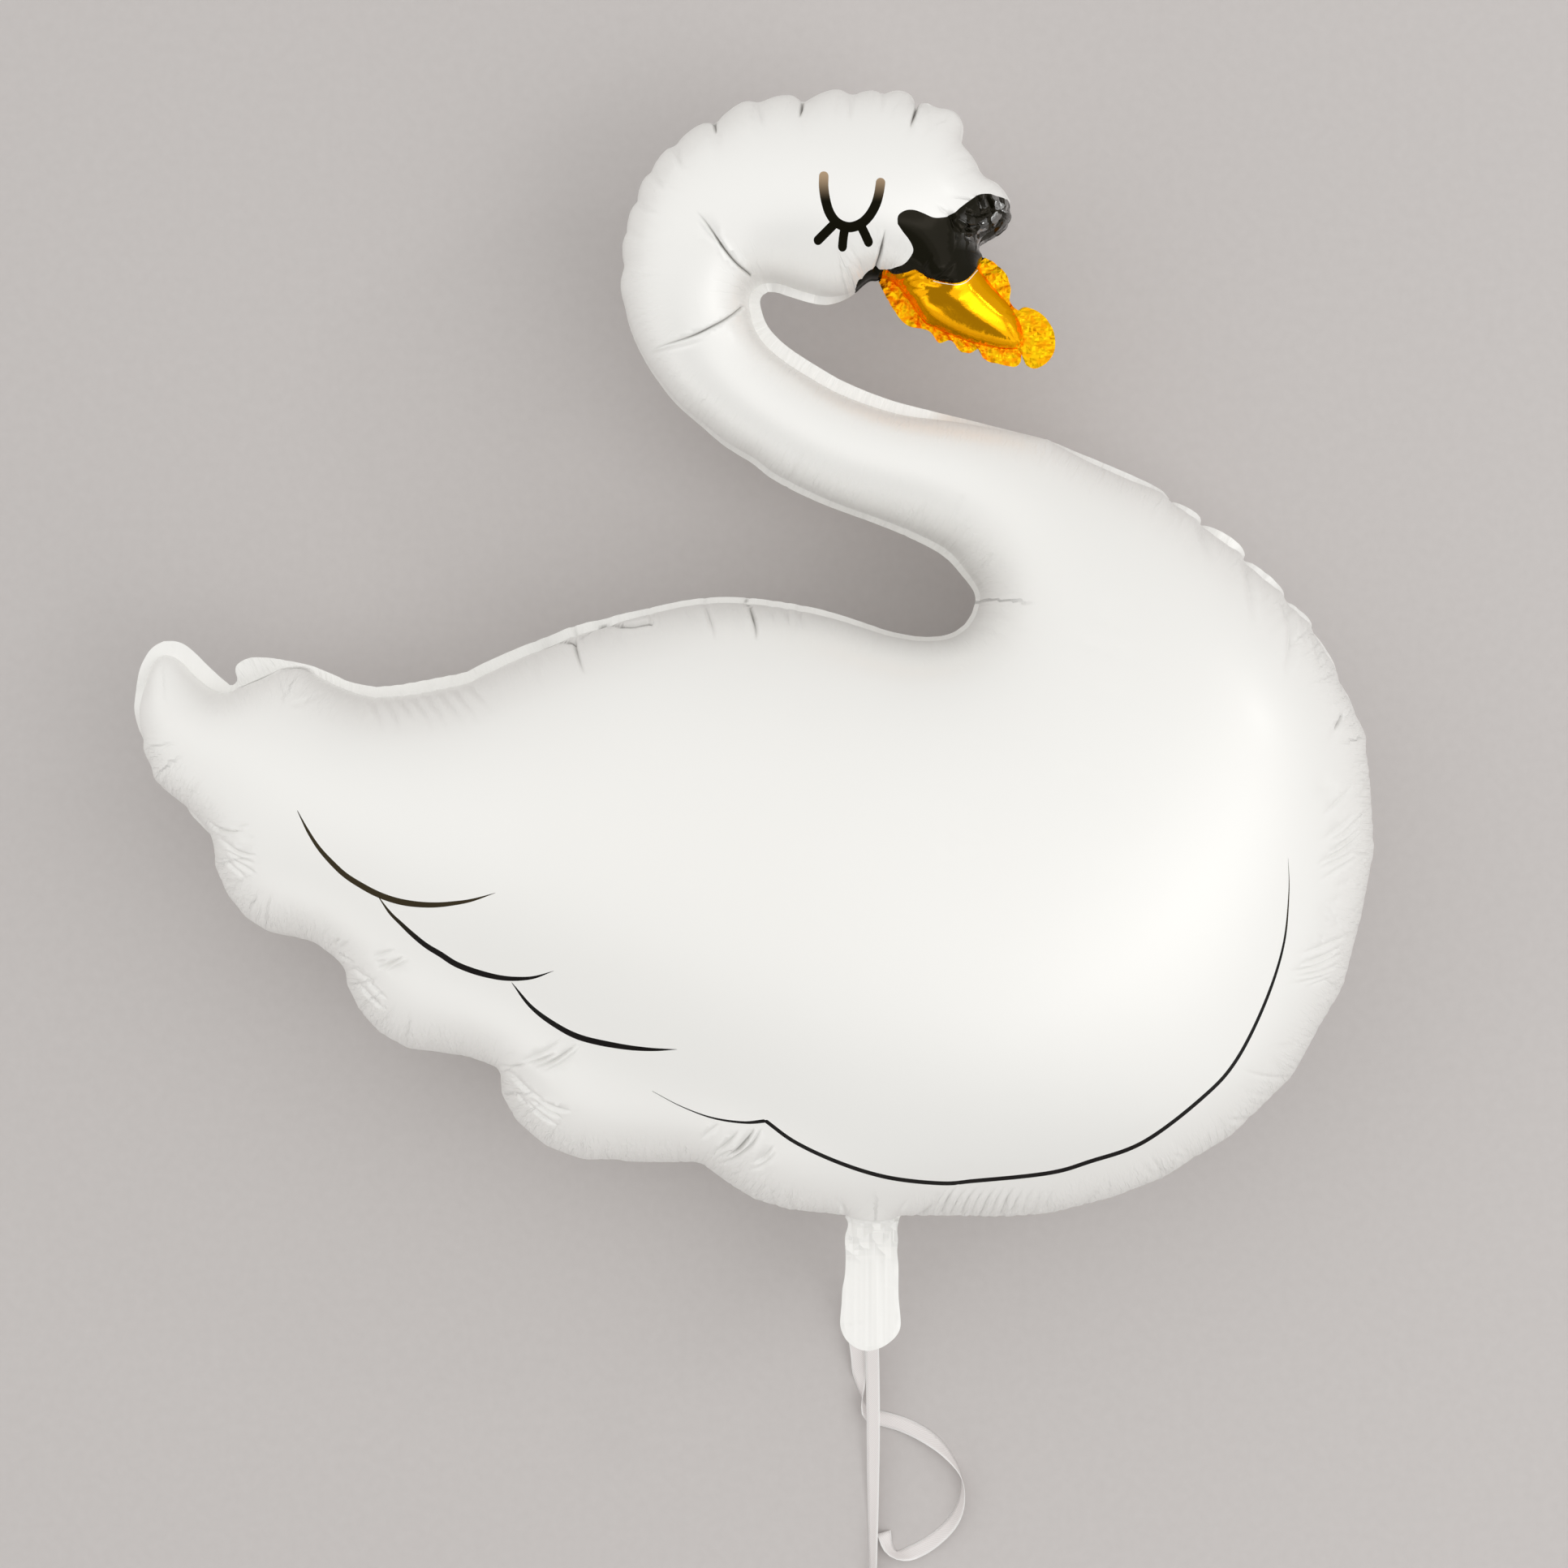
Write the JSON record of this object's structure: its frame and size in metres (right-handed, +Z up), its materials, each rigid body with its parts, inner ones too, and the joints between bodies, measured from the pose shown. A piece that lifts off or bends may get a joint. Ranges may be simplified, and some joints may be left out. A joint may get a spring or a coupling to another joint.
{
  "type": "foil swan balloon",
  "caption": "Filled foil balloon in the outline of a swan, with a sealed flange, a filling tab and a curling ribbon, lying on its back sheet.",
  "frame": {"origin": "on the floor, under the middle of the box of the balloon with its tab, without the ribbon", "axes": "+X from the tail to the breast, +Y from the filling tab up to the crown, +Z up, square to the seam plane"},
  "size_m": [0.75, 1.0556, 0.2415],
  "materials": {
    "pearl_foil": "pearl white metallised film, with a gold bill and black print",
    "ribbon_satin": "thin satin polypropylene ribbon"
  },
  "bodies": {
    "root": {"foil_swan": "pearl_foil", "ribbon_knot": "ribbon_satin", "ribbon_run": "ribbon_satin", "ribbon_coil": "ribbon_satin", "ribbon_tail": "ribbon_satin"}
  },
  "joints": []
}
